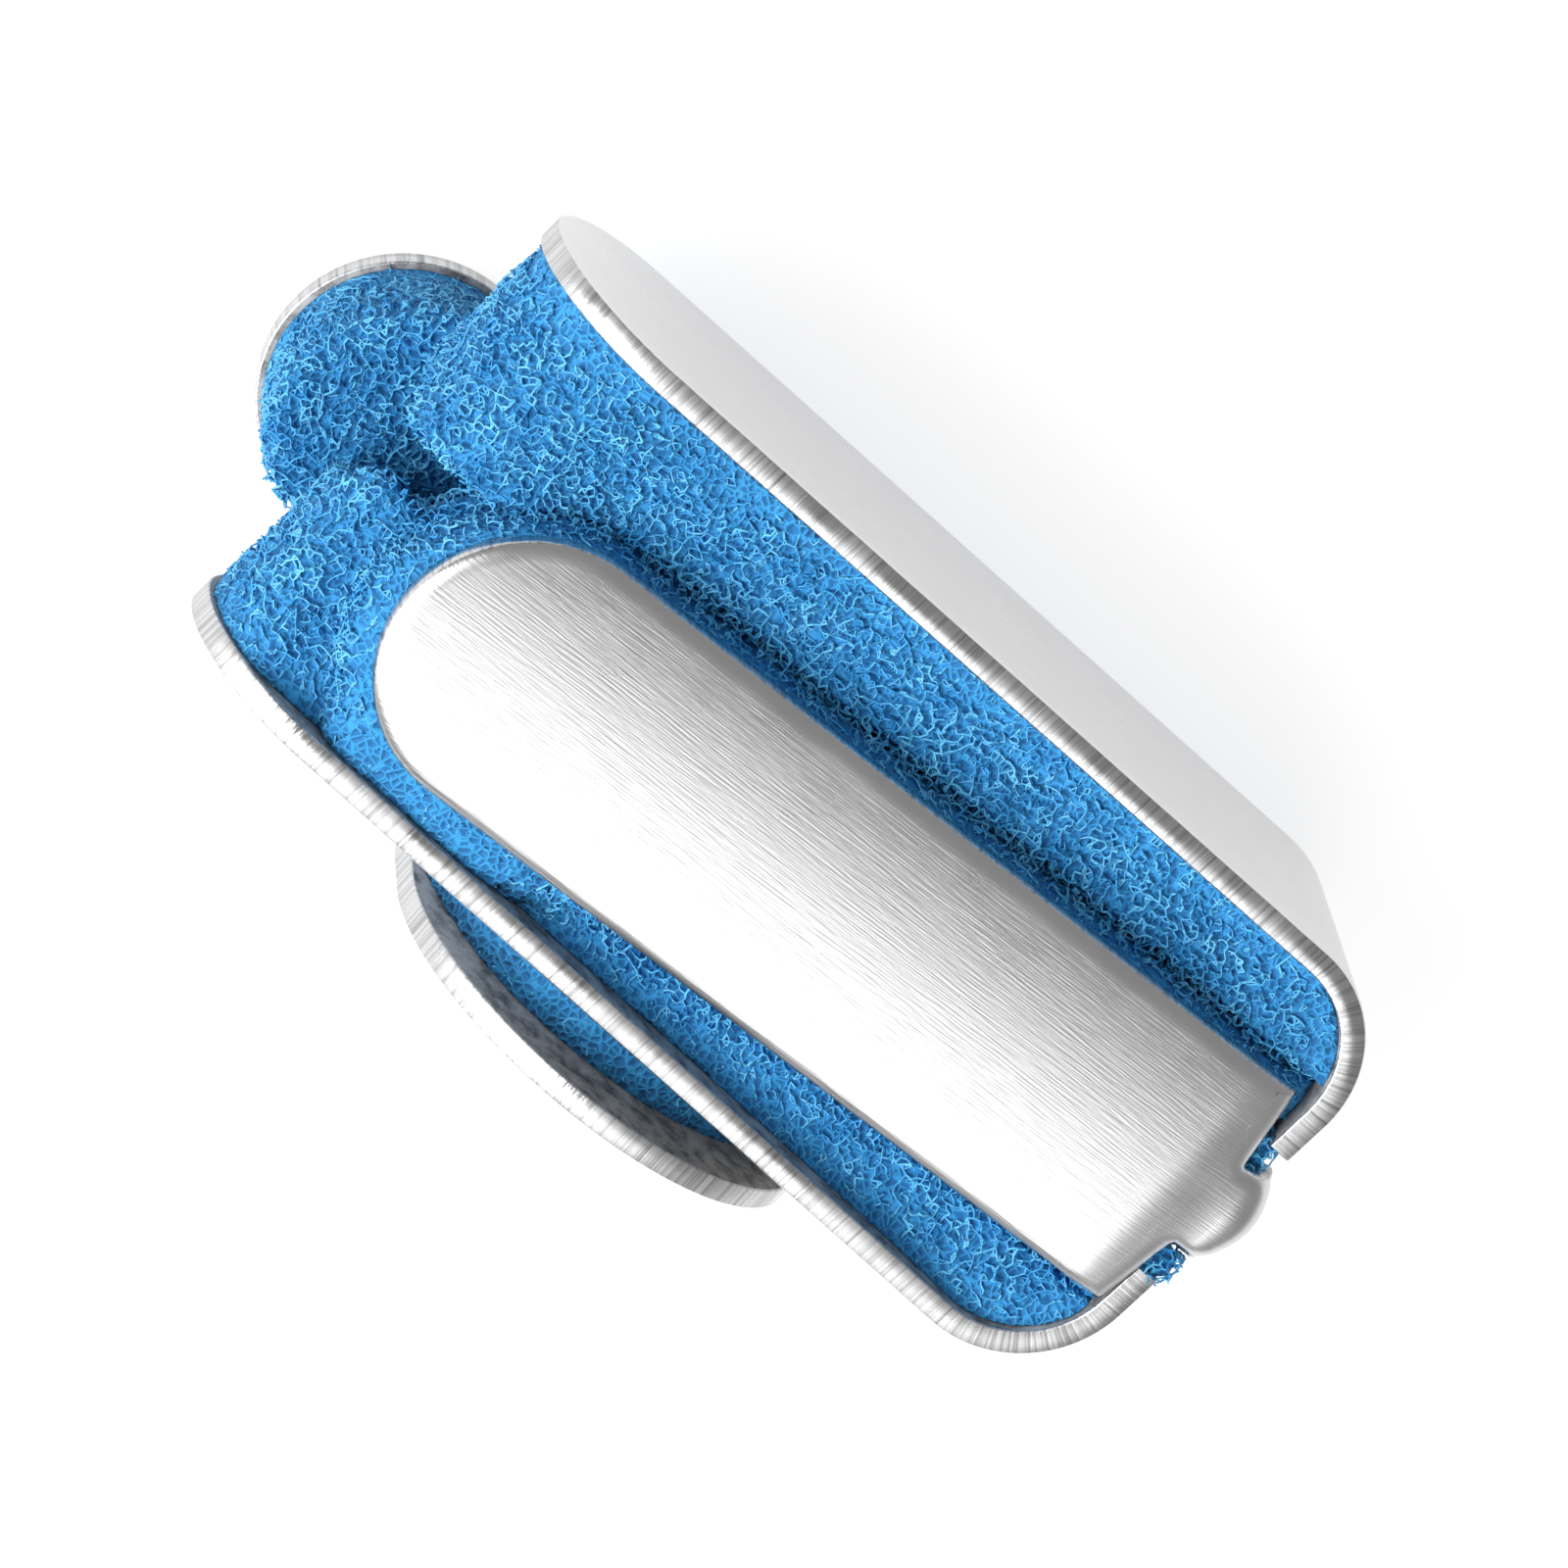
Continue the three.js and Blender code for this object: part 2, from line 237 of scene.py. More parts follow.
def bend_stations(line, step=3.0):
    """Distances along a line at its pieces' ends and every few degrees of its bends."""
    found = []
    for s, _, _, _, length, curve in line:
        count = max(1, math.ceil(math.degrees(abs(curve) * length) / step))
        found += [s + length * i / count for i in range(count + 1)]
    return found


def smooth(value, low, high):
    """A share that eases from 0 at low to 1 at high."""
    share = min(1.0, max(0.0, (value - low) / (high - low)))
    return share * share * (3 - 2 * share)


TIP_STEPS = 30
RUN_STEP = 2.5  # between two rows on a straight run
ROW_GAP = 0.03  # rows nearer than this are one row


def round_tip(length, full):
    """(distance, half width) pairs of a half round tip, towards the tip."""
    rows = []
    for i in range(TIP_STEPS + 1):
        angle = math.pi / 2 * i / TIP_STEPS
        along = length - full + full * math.sin(angle)
        rows.append((along, full * math.cos(angle) if i < TIP_STEPS else 0.0))
    return rows


def plain_rows(line, low, high, extra, width_at):
    """(distance, half width) pairs between two distances along a line."""
    found = [s for s in bend_stations(line) + extra if low < s < high]
    count = max(1, int((high - low) / RUN_STEP))
    found += [low + (high - low) * i / count for i in range(count + 1)]
    rows = []
    for s in sorted(found):
        if not rows or s - rows[-1][0] > ROW_GAP:
            rows.append((s, width_at(s)))
    return rows


def level(s, t):
    """The crown of a flat plate."""
    return 0.0


# The rolled rim's rings: how far in from the edge and how far below the face, as shares of the roll
ROLLED_RIM = ((2.2, 0.05), (1.6, 0.2), (0.9, 0.45), (0.35, 0.8), (0.0, 1.25))
ROLL_REACH = 2.4
FACE_MARGIN = 0.2
FACE_RINGS = 4  # strips of the rolled rim that are brushed as the face is
BURR_CUT = 0.29  # share of the rim's rounding that its middle ring lies in from both faces
BURR_MARGIN = 0.4
COLUMNS = 6  # of faces across a plate
ROW_ORDER = 0.0005  # least distance between two rows of a ring, so that none folds over the next


def edge_normals(pts):
    """The way out from a plate's edge at each row, in the flat sheet."""
    ds = np.gradient(pts[:, 0])
    dt = np.gradient(pts[:, 1])
    size = np.hypot(ds, dt)
    normal = np.stack([-dt / size, ds / size], axis=1)
    if pts[0, 1] == 0.0:
        normal[0] = (-1.0, 0.0)
    if pts[-1, 1] == 0.0:
        normal[-1] = (1.0, 0.0)
    return normal


def rim_rings(sizes, roll, outside):
    """(inset, height) of the rings round a plate's rim, from the rolled face to the inner side."""
    half, rim = sizes.thickness / 2, sizes.rim_round
    cut = rim * BURR_CUT
    rings = [(roll * ROLL_REACH + FACE_MARGIN, half)]
    rings += [(roll * inset, half - roll * drop) for inset, drop in ROLLED_RIM]
    rings += [(0.0, -half + rim), (cut, -half + cut), (rim, -half), (rim + BURR_MARGIN, -half)]
    return [(inset, height * outside) for inset, height in rings]


def plate(name, line, rows, sizes, roll, crown, outside, place, materials):
    """A bent plate: rows give its half width along the line, crown how far a point drops.

    outside is the side that the shear rolled over.
    materials are those of the face, the edge and the inner side.
    """
    n = len(rows)
    pts = np.array(rows)
    closed_start, closed_end = pts[0, 1] == 0.0, pts[-1, 1] == 0.0
    normal = edge_normals(pts)
    half = sizes.thickness / 2
    rings = rim_rings(sizes, roll, outside)
    bm = bmesh.new()
    uv = bm.loops.layers.uv.new("Sheet")
    flat = {}

    def vertex(s, t, offset):
        a, b, angle = line_at(line, s)
        out = offset - crown(s, t)
        x, y, z = place(a - math.sin(angle) * out, b + math.cos(angle) * out, t)
        made = bm.verts.new((x * MM, y * MM, z * MM))
        flat[made] = (s, t)
        return made

    left, right = [], []
    for inset, offset in rings:
        row_l, row_r = [], []
        drawn_in = pts[:, 0] - inset * normal[:, 0]
        order = ROW_ORDER * np.arange(n)
        drawn_in = np.maximum.accumulate(drawn_in - order) + order
        for i in range(n):
            s = drawn_in[i]
            t = max(0.0, pts[i, 1] - inset * normal[i, 1])
            made = vertex(s, t, offset)
            row_l.append(made)
            tip = (i == n - 1 and closed_end) or (i == 0 and closed_start)
            row_r.append(made if tip else vertex(s, -t, offset))
        left.append(row_l)
        right.append(row_r)

    def face(corners, index):
        unique = []
        for corner in corners:
            if corner not in unique:
                unique.append(corner)
        if len(unique) >= 3:
            made = bm.faces.new(unique)
            made.material_index = index
            made.smooth = True

    for k in range(len(rings) - 1):
        for side in (left, right):
            for i in range(n - 1):
                corners = [side[k][i], side[k][i + 1], side[k + 1][i + 1], side[k + 1][i]]
                face(corners, 0 if k < FACE_RINGS else 2 if k == len(rings) - 2 else 1)
    for k, offset in ((0, half * outside), (len(rings) - 1, -half * outside)):
        grid = []
        for i in range(n):
            a, b = left[k][i], right[k][i]
            if a is b:
                grid.append([a] * (COLUMNS + 1))
                continue
            s, t = flat[a]
            inner = [vertex(s, t * (1 - 2 * j / COLUMNS), offset) for j in range(1, COLUMNS)]
            grid.append([a, *inner, b])
        for i in range(n - 1):
            for j in range(COLUMNS):
                corners = [grid[i][j], grid[i][j + 1], grid[i + 1][j + 1], grid[i + 1][j]]
                face(corners, 0 if k == 0 else 2)
        if k == 0:
            top_start, top_end = grid[0], grid[-1]
        else:
            low_start, low_end = grid[0], grid[-1]
    if not closed_start:
        loop = [ring[0] for ring in left] + low_start[1:-1] + [ring[0] for ring in reversed(right)]
        face(loop + top_start[-2:0:-1], 1)
    if not closed_end:
        loop = [ring[-1] for ring in left] + low_end[1:-1] + [ring[-1] for ring in reversed(right)]
        face(loop + top_end[-2:0:-1], 1)
    bmesh.ops.recalc_face_normals(bm, faces=bm.faces)
    for f in bm.faces:
        for loop in f.loops:
            s, t = flat[loop.vert]
            loop[uv].uv = (s * MM, t * MM)
    mesh = bpy.data.meshes.new(name)
    bm.to_mesh(mesh)
    bm.free()
    for material in materials:
        mesh.materials.append(material)
    return linked(name, mesh)


def turned(place, x, y, degrees):
    """The same placing, turned about a vertical line."""
    c, s = math.cos(math.radians(degrees)), math.sin(math.radians(degrees))

    def turned_place(*values):
        px, py, pz = place(*values)
        return x + (px - x) * c - (py - y) * s, y + (px - x) * s + (py - y) * c, pz

    return turned_place


# Prongs of the sheet, each as its line, rows of half widths and placing, in mm and degrees

RIGHT_LEAN_IN = 0.5  # degrees that the right prong leans towards the finger
LEFT_LEAN_IN = 0.8
TOP_TURN = 3.75  # degrees that the top prong is turned to the left
TOP_SIDESTEP = -0.3
TOP_SHOULDER = 1.2  # from the closed end
BACK_TURN = 1.0
BACK_SHOULDER = 6.2  # from the hub's middle, along the sheet
BACK_BEND_RADIUS = 3.0
TOP_NECK_WIDTH = 4.54  # necks of the top and back prongs
SIDE_NECK_WIDTH = 3.5
SIDE_SHOULDER = 3.3  # from the hub's middle
SHOULDER_EASE = 0.7  # length of the rounded step between neck and prong
NECK_OUT_ANGLE = 50  # the top neck leans out, and is then folded back over the cage
NECK_OUT_RADIUS = 1.2
NECK_OUT_RUN = 0.58
NECK_FOLD_RADIUS = 1.47
NECK_SWELL = 0.42  # the fold bulges to both sides
NECK_DOME = 0.75  # and its edges are rounded down
NECK_DIP = 0.55  # the neck lies a little below the prong's face
WING_CENTRE = 22.8  # from the closed end
WING_OUTSIDE = 14.97  # outer face, from the middle of the cage
WING_TOP = 18.15
WING_TURN = 5.0
WING_NECK_WIDTH = 10.0
WING_BEND_RADIUS = 3.0
WING_START = 4.0  # inside the back prong, so that the two are one sheet
WING_NECK_END = 7.6
WING_FLARE = 6.0  # length over which the neck widens
EASE_SHARES = (0.0, 0.12, 0.25, 0.4, 0.5, 0.6, 0.75, 0.88, 1.0)


def ease_stations(start, length):
    """Distances that follow a rounded step closely."""
    return [start + length * share for share in EASE_SHARES]


def side_band(sizes, materials):
    """The right and left prongs with the hub between them, one strip with two round tips."""
    half_sheet, full = sizes.thickness / 2, sizes.prong_width / 2
    bend = sizes.corner_radius - half_sheet
    hub = sizes.cage_width / 2 - sizes.corner_radius
    hub_height = sizes.side_top - full

    def wall(reach, lean):
        straight = reach - half_sheet - bend * (1 + math.sin(math.radians(lean)))
        return straight / math.cos(math.radians(lean))

    left_wall = wall(sizes.left_reach, LEFT_LEAN_IN)
    right_wall = wall(sizes.right_reach, RIGHT_LEAN_IN)
    half_line = bent_line((0, half_sheet), 0, [
        ("run", hub), ("bend", 90 + LEFT_LEAN_IN, bend), ("run", left_wall),
    ])
    a, b, angle = line_at(half_line, line_length(half_line))
    line = bent_line((a, b), math.degrees(angle) - 180, [
        ("run", left_wall), ("bend", -90 - LEFT_LEAN_IN, bend), ("run", 2 * hub),
        ("bend", -90 - RIGHT_LEAN_IN, bend), ("run", right_wall),
    ])
    middle = line_length(half_line)
    length = line_length(line)

    def width_at(s):
        share = smooth(abs(s - middle), SIDE_SHOULDER, SIDE_SHOULDER + SHOULDER_EASE)
        return SIDE_NECK_WIDTH / 2 + (full - SIDE_NECK_WIDTH / 2) * share

    extra = ease_stations(middle + SIDE_SHOULDER, SHOULDER_EASE)
    extra += ease_stations(middle - SIDE_SHOULDER - SHOULDER_EASE, SHOULDER_EASE)
    first = [(full - (s - (length - full)), half) for s, half in reversed(round_tip(length, full))]
    last = round_tip(length, full)
    rows = first[:-1] + plain_rows(line, full, length - full, extra, width_at) + last[1:]

    def place(across, along, up):
        return along, across, hub_height + up

    return plate("side_band", line, rows, sizes, sizes.rim_round, level, 1, place, materials)


def top_prong(sizes, materials):
    """The prong over the finger, on a neck that bulges out and is folded back."""
    half_sheet, full = sizes.thickness / 2, sizes.prong_width / 2
    hub_height = sizes.side_top - full
    out = math.radians(NECK_OUT_ANGLE)
    fold_bottom = sizes.cage_height - half_sheet - NECK_FOLD_RADIUS * (1 + math.sin(out))
    neck_rise = NECK_OUT_RADIUS * math.sin(out) + NECK_OUT_RUN * math.cos(out)
    fold_start = half_sheet - NECK_OUT_RADIUS * (1 - math.cos(out)) - NECK_OUT_RUN * math.sin(out)
    fold_end = fold_start + NECK_FOLD_RADIUS * math.cos(out)
    line = bent_line((half_sheet, hub_height), 90, [
        ("run", fold_bottom - neck_rise - hub_height), ("bend", NECK_OUT_ANGLE, NECK_OUT_RADIUS),
        ("run", NECK_OUT_RUN), ("bend", -90 - NECK_OUT_ANGLE, NECK_FOLD_RADIUS),
        ("run", sizes.top_reach - fold_end),
    ])
    shoulder = line[-1][0] + TOP_SHOULDER - fold_end
    length = line_length(line)
    neck = TOP_NECK_WIDTH / 2
    fold = line[3][0]

    def width_at(s):
        swell = NECK_SWELL * math.exp(-(((s - fold - 1.2) / 1.3) ** 2))
        return neck + swell + (full - neck - swell) * smooth(s, shoulder, shoulder + SHOULDER_EASE)

    def crown(s, t):
        dome = NECK_DOME * math.exp(-(((s - fold - 1.4) / 1.5) ** 2))
        dip = NECK_DIP * (1 - smooth(s, shoulder - 0.6, shoulder + 2.8)) * smooth(s, fold + 1.3, line[4][0])
        return sizes.crown * (t / full) ** 2 + dome * min(1.0, (t / neck) ** 2) + dip

    extra = ease_stations(shoulder, SHOULDER_EASE)
    extra += [shoulder + SHOULDER_EASE + 0.25 * i for i in range(1, 12)]
    rows = plain_rows(line, 0, length - full, extra, width_at) + round_tip(length, full)[1:]

    def place(along, up, across):
        return along, across + TOP_SIDESTEP, up

    place = turned(place, fold_end, TOP_SIDESTEP, TOP_TURN)
    return plate("top_prong", line, rows, sizes, sizes.shear_roll, crown, 1, place, materials)


def back_prong(sizes, materials):
    """The prong under the finger, which the splint rests on."""
    half_sheet, full = sizes.thickness / 2, sizes.prong_width / 2
    hub_height = sizes.side_top - full
    line = bent_line((half_sheet, hub_height), -90, [
        ("run", hub_height - half_sheet - BACK_BEND_RADIUS), ("bend", 90, BACK_BEND_RADIUS),
        ("run", sizes.back_reach - half_sheet - BACK_BEND_RADIUS),
    ])
    length = line_length(line)
    neck = TOP_NECK_WIDTH / 2

    def width_at(s):
        return neck + (full - neck) * smooth(s, BACK_SHOULDER, BACK_SHOULDER + SHOULDER_EASE)

    extra = ease_stations(BACK_SHOULDER, SHOULDER_EASE)
    rows = plain_rows(line, 0, length - full, extra, width_at) + round_tip(length, full)[1:]

    def place(along, up, across):
        return along, across, up

    place = turned(place, 0, 0, BACK_TURN)
    return plate("back_prong", line, rows, sizes, sizes.rim_round, level, -1, place, materials)


def side_wing(sizes, materials):
    """The broad wing beside the left prong, bent up from the back prong's edge."""
    half_sheet, full = sizes.thickness / 2, sizes.wing_width / 2
    upright = WING_OUTSIDE - half_sheet
    line = bent_line((WING_START, half_sheet), 0, [
        ("run", upright - WING_BEND_RADIUS - WING_START), ("bend", 90, WING_BEND_RADIUS),
        ("run", WING_TOP - half_sheet - WING_BEND_RADIUS),
    ])
    length = line_length(line)
    neck, flare = WING_NECK_WIDTH / 2, WING_NECK_END - WING_START

    def width_at(s):
        return neck + (full - neck) * smooth(s, flare, flare + WING_FLARE)

    extra = ease_stations(flare, WING_FLARE)
    rows = plain_rows(line, 0, length - full, extra, width_at) + round_tip(length, full)[1:]

    def place(across, up, along):
        return WING_CENTRE + along, across, up

    place = turned(place, WING_CENTRE, WING_OUTSIDE, WING_TURN)
    return plate("side_wing", line, rows, sizes, sizes.rim_round, level, -1, place, materials)


# Mesh helpers

def plain_mesh(obj):
    """Applies what is on an object and leaves a plain mesh."""
    depsgraph = bpy.context.evaluated_depsgraph_get()
    made = bpy.data.meshes.new_from_object(obj.evaluated_get(depsgraph))
    obj.modifiers.clear()
    obj.data = made
    return obj


def joined(name, parts):
    """One solid from overlapping closed solids."""
    first = parts[0]
    for other in parts[1:]:
        cut = first.modifiers.new("join", "BOOLEAN")
        cut.operation = "UNION"
        cut.solver = "EXACT"
        cut.object = other
        plain_mesh(first)
        bpy.data.objects.remove(other)
    first.name = name
    first.data.name = name
    return first


def finish_piece(obj, nodes):
    """Says what a piece replaces and rides on."""
    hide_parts(*nodes)
    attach(obj, BODY)


# Materials

def new_material(name):
    material = bpy.data.materials.new(name)
    material.use_nodes = True
    nodes = material.node_tree.nodes
    return material, nodes, material.node_tree.links, nodes["Principled BSDF"]


def node(nodes, kind, **values):
    """A new node with some of its attributes or inputs set."""
    made = nodes.new(kind)
    for key, value in values.items():
        if hasattr(made, key):
            setattr(made, key, value)
        else:
            made.inputs[key].default_value = value
    return made


def noise_on(nodes, links, vector, **values):
    """The Fac output of a noise on some coordinates."""
    made = node(nodes, "ShaderNodeTexNoise", **values)
    links.new(vector, made.inputs["Vector"])
    return made.outputs["Fac"]


def scaled(nodes, links, source, scale):
    mapping = nodes.new("ShaderNodeMapping")
    mapping.inputs["Scale"].default_value = scale
    links.new(source, mapping.inputs["Vector"])
    return mapping.outputs["Vector"]


def two_tones(nodes, links, value, low, high):
    """A colour that runs between two stops, each given as its position and its colour."""
    ramp = nodes.new("ShaderNodeValToRGB")
    for stop, (position, colour) in zip(ramp.color_ramp.elements, (low, high)):
        stop.position = position
        stop.color = (*colour, 1)
    links.new(value, ramp.inputs["Fac"])
    return ramp.outputs["Color"]


def rescaled(nodes, links, value, to, source=(0.0, 1.0)):
    """A value moved from one range to another."""
    made = nodes.new("ShaderNodeMapRange")
    made.inputs["From Min"].default_value, made.inputs["From Max"].default_value = source
    made.inputs["To Min"].default_value, made.inputs["To Max"].default_value = to
    links.new(value, made.inputs["Value"])
    return made.outputs["Result"]


def add_bump(nodes, links, shader, height, strength, distance, invert=False):
    """Bump on the shader's normal, with its distance in mm."""
    bump = node(nodes, "ShaderNodeBump", invert=invert, Strength=strength, Distance=distance * MM)
    links.new(height, bump.inputs["Height"])
    links.new(bump.outputs["Normal"], shader.inputs["Normal"])


def brushed_aluminium(finish):
    """The outer faces, with a fine grain along the prongs."""
    material, nodes, links, shader = new_material("brushed_aluminium")
    shader.inputs["Metallic"].default_value = 1.0
    shader.inputs["Base Color"].default_value = (*finish.metal, 1)
    shader.inputs["Anisotropic"].default_value = 0.45
    sheet_uv = node(nodes, "ShaderNodeUVMap", uv_map="Sheet").outputs["UV"]
    tangent = node(nodes, "ShaderNodeTangent", direction_type="UV_MAP", uv_map="Sheet")
    links.new(tangent.outputs["Tangent"], shader.inputs["Tangent"])
    lengthwise = scaled(nodes, links, sheet_uv, (500, 11000, 1))
    grain = noise_on(nodes, links, lengthwise, Scale=1.0, Detail=4.0)
    mottle = noise_on(nodes, links, scaled(nodes, links, sheet_uv, (320, 420, 1)), Scale=1.0, Detail=5.0)
    links.new(rescaled(nodes, links, mottle, (0.2, 0.4)), shader.inputs["Roughness"])
    add_bump(nodes, links, shader, grain, 0.3, 0.05)
    return material


def inner_face():
    """The dull, glue stained side that the foam is bonded to."""
    material, nodes, links, shader = new_material("inner_face")
    place = nodes.new("ShaderNodeTexCoord").outputs["Object"]
    stain = noise_on(nodes, links, place, Scale=900.0, Detail=6.0, Roughness=0.7)
    colour = two_tones(nodes, links, stain, (0.36, (0.10, 0.095, 0.09)), (0.6, (0.42, 0.41, 0.40)))
    links.new(colour, shader.inputs["Base Color"])
    shader.inputs["Metallic"].default_value = 0.2
    shader.inputs["Roughness"].default_value = 0.65
    return material


def sheared_edge():
    """The cut edges, torn into fine bright and dark teeth by the shear."""
    material, nodes, links, shader = new_material("sheared_edge")
    shader.inputs["Metallic"].default_value = 1.0
    sheet_uv = node(nodes, "ShaderNodeUVMap", uv_map="Sheet").outputs["UV"]
    fine = scaled(nodes, links, sheet_uv, (3600, 3600, 1))
    teeth = noise_on(nodes, links, fine, Scale=1.0, Detail=5.0, Roughness=0.75)
    patch = noise_on(nodes, links, sheet_uv, Scale=220.0)
    colour = two_tones(nodes, links, teeth, (0.34, (0.26, 0.26, 0.265)), (0.54, (0.62, 0.62, 0.625)))
    links.new(colour, shader.inputs["Base Color"])
    rough = rescaled(nodes, links, patch, (0.18, 0.45), source=(0.35, 0.65))
    links.new(rough, shader.inputs["Roughness"])
    add_bump(nodes, links, shader, teeth, 0.5, 0.08)
    return material


def foam_struts(finish):
    """The open struts, some lighter and some darker."""
    material, nodes, links, shader = new_material("foam_struts")
    place = nodes.new("ShaderNodeTexCoord").outputs["Object"]
    cloud = noise_on(nodes, links, place, Scale=700.0, Detail=3.0)
    colour = two_tones(nodes, links, cloud, (0.36, finish.strut_dark), (0.66, finish.strut_light))
    links.new(colour, shader.inputs["Base Color"])
    shader.inputs["Roughness"].default_value = 0.35
    return material


def foam_core_painted_shade(finish):
    """The foam below the open struts, with painted shade: dark cells between lighter walls stand in for the
    shade deep in the open pores, on top of the real shade that the struts above cast.
    """
    material, nodes, links, shader = new_material("foam_core_painted_shade")
    place = nodes.new("ShaderNodeTexCoord").outputs["Object"]
    web = node(nodes, "ShaderNodeTexVoronoi", feature="DISTANCE_TO_EDGE", Scale=2500.0, Randomness=1.0)
    links.new(place, web.inputs["Vector"])
    cells = web.outputs["Distance"]
    # Painted shade: the colour runs from the struts' dark tone at the cell walls to the darker core colour
    # in each cell's middle.
    colour = two_tones(nodes, links, cells, (0.05, finish.strut_dark), (0.16, finish.core))
    links.new(colour, shader.inputs["Base Color"])
    shader.inputs["Roughness"].default_value = 0.8
    add_bump(nodes, links, shader, cells, 0.9, 0.3, invert=True)
    return material


# Foam

# The middle of the part's box, measured from the hub's middle, and the middle of the finger hollow
CENTRE = Vector((-26.163, -1.989))
HOLLOW_MIDDLE = -2.1

STRUT_RANGE = (0.7, 1.35)
STRUT_SIDES = 3


def strut_tree(material):
    """Geometry Nodes that make a net's edges into struts, each a little thicker or thinner."""
    tree = bpy.data.node_groups.new("foam_struts", "GeometryNodeTree")
    tree.interface.new_socket("Geometry", in_out="INPUT", socket_type="NodeSocketGeometry")
    radius = tree.interface.new_socket("Strut radius", in_out="INPUT", socket_type="NodeSocketFloat")
    seed = tree.interface.new_socket("Seed", in_out="INPUT", socket_type="NodeSocketInt")
    tree.interface.new_socket("Geometry", in_out="OUTPUT", socket_type="NodeSocketGeometry")
    nodes, links = tree.nodes, tree.links
    start = nodes.new("NodeGroupInput")
    end = nodes.new("NodeGroupOutput")
    curves = nodes.new("GeometryNodeMeshToCurve")
    vary = nodes.new("FunctionNodeRandomValue")
    low = [s for s in vary.inputs if s.name == "Min" and s.type == "VALUE"][0]
    high = [s for s in vary.inputs if s.name == "Max" and s.type == "VALUE"][0]
    low.default_value, high.default_value = STRUT_RANGE
    thick = nodes.new("GeometryNodeSetCurveRadius")
    ring = nodes.new("GeometryNodeCurvePrimitiveCircle")
    ring.inputs["Resolution"].default_value = STRUT_SIDES
    tube = nodes.new("GeometryNodeCurveToMesh")
    real = nodes.new("GeometryNodeRealizeInstances")
    paint = nodes.new("GeometryNodeSetMaterial")
    paint.inputs["Material"].default_value = material
    links.new(start.outputs["Geometry"], curves.inputs["Mesh"])
    links.new(curves.outputs["Curve"], thick.inputs["Curve"])
    links.new(start.outputs["Seed"], vary.inputs["Seed"])
    value = [s for s in vary.outputs if s.type == "VALUE"][0]
    links.new(value, thick.inputs["Radius"])
    links.new(start.outputs["Strut radius"], ring.inputs["Radius"])
    links.new(thick.outputs["Curve"], tube.inputs["Curve"])
    links.new(ring.outputs["Curve"], tube.inputs["Profile Curve"])
    spread = nodes.new("GeometryNodeInputRadius")
    links.new(spread.outputs["Radius"], tube.inputs["Scale"])
    links.new(tube.outputs["Mesh"], real.inputs["Geometry"])
    links.new(real.outputs["Geometry"], paint.inputs["Geometry"])
    links.new(paint.outputs["Geometry"], end.inputs["Geometry"])
    return tree, radius.identifier, seed.identifier


SEAT_REACH = 1.3  # foam nearer to the metal than this is grown to lie against it
SEAT_FADE = 2.4  # foam farther from it than this stays
SEAT_GAP = 0.03
HOLLOW_REACH = 7.0  # a face that looks at another piece within this reach is inside the hollow
HOLLOW_TOP = 13.5  # above this it is outside the hollow
HUB_FRONT = -24.5  # the top pad isn't grown against the hub behind this

# How the folded prongs squeeze the pads, in mm
BULGE = 0.8  # the top pad stands out beside its prong, and more at the tip on the left
TIP_BULGE = 0.95
TIP_LENGTH = 12
HUB_PUSH = 2.1  # the top pad's corners beside the neck are pushed out at the closed end
WING_RISE = 0.8  # the wing pad's front edge stands up
# The side pads lean together over the hollow at their tips
SIDE_PUSH = {"right_side_pad": 1.3, "left_side_pad": -1.9}
SIDE_DROP = 1.1  # the side pads' front edges sink beside the top prong
TIP_DROP = 0.15
LEFT_DROP = 0.1
TOP_FOLD = 0.65  # where the top prong's fold ends, from the hub's middle


def beside_top_prong(point, sheet):
    """The way out from the top prong's middle line, how far beyond its edge, and how near the tip."""
    full = sheet.prong_width / 2
    start = Vector((TOP_FOLD, TOP_SIDESTEP))
    turn = math.radians(TOP_TURN)
    heading = Vector((math.cos(turn), math.sin(turn)))
    length = sheet.top_reach - full - TOP_FOLD
    away = Vector((point.x / MM, point.y / MM)) - CENTRE - start
    along = min(length, max(0.0, away.dot(heading)))
    out = away - heading * along
    return out.normalized(), out.length - full, smooth(along, length - TIP_LENGTH, length)


def as_pressed(node_name, point, sheet):
    """Where a point of a plain pad lies once the pads are squeezed together by the prongs.

    Each call of smooth fades a push in or out between two places in mm.
    """
    out, beyond, tip = beside_top_prong(point, sheet)
    x, y, z = (value / MM for value in point)
    if node_name == "top_pad":
        grow = BULGE + TIP_BULGE * tip * smooth(out.y, -0.7, 0.3)
        grow *= smooth(beyond, -2.5, -0.4)
        aside = abs(y + 2.0)
        hub = (1 - smooth(x, -24.6, -22.5)) * (1 - smooth(aside, 3.9, 4.9))
        hub *= smooth(z, 12.2, 13.2) * smooth(aside, 1.9, 2.6)
        return point + Vector((out.x * grow - HUB_PUSH * hub, out.y * grow, 0.3 * hub)) * MM
    if node_name == "wing_pad":
        return point + Vector((0, 0, WING_RISE * smooth(z, 7, 12.5))) * MM
    if node_name in SIDE_PUSH:
        push = SIDE_PUSH[node_name] * smooth(x, 15, 20) * smooth(z, 10.5, 12.5)
        push *= 1 - smooth(abs(y - HOLLOW_MIDDLE), 2.6, 7.0)
        drop = SIDE_DROP + TIP_DROP * tip + LEFT_DROP * smooth(out.y, 0.2, 0.8) * (1 - tip)
        drop *= (1 - smooth(beyond, 1.8, 6.0 - tip)) * smooth(z, 12, 15.5)
        drop *= smooth(x, -24.5, -16)
        return point + Vector((0, push, -drop)) * MM
    return point


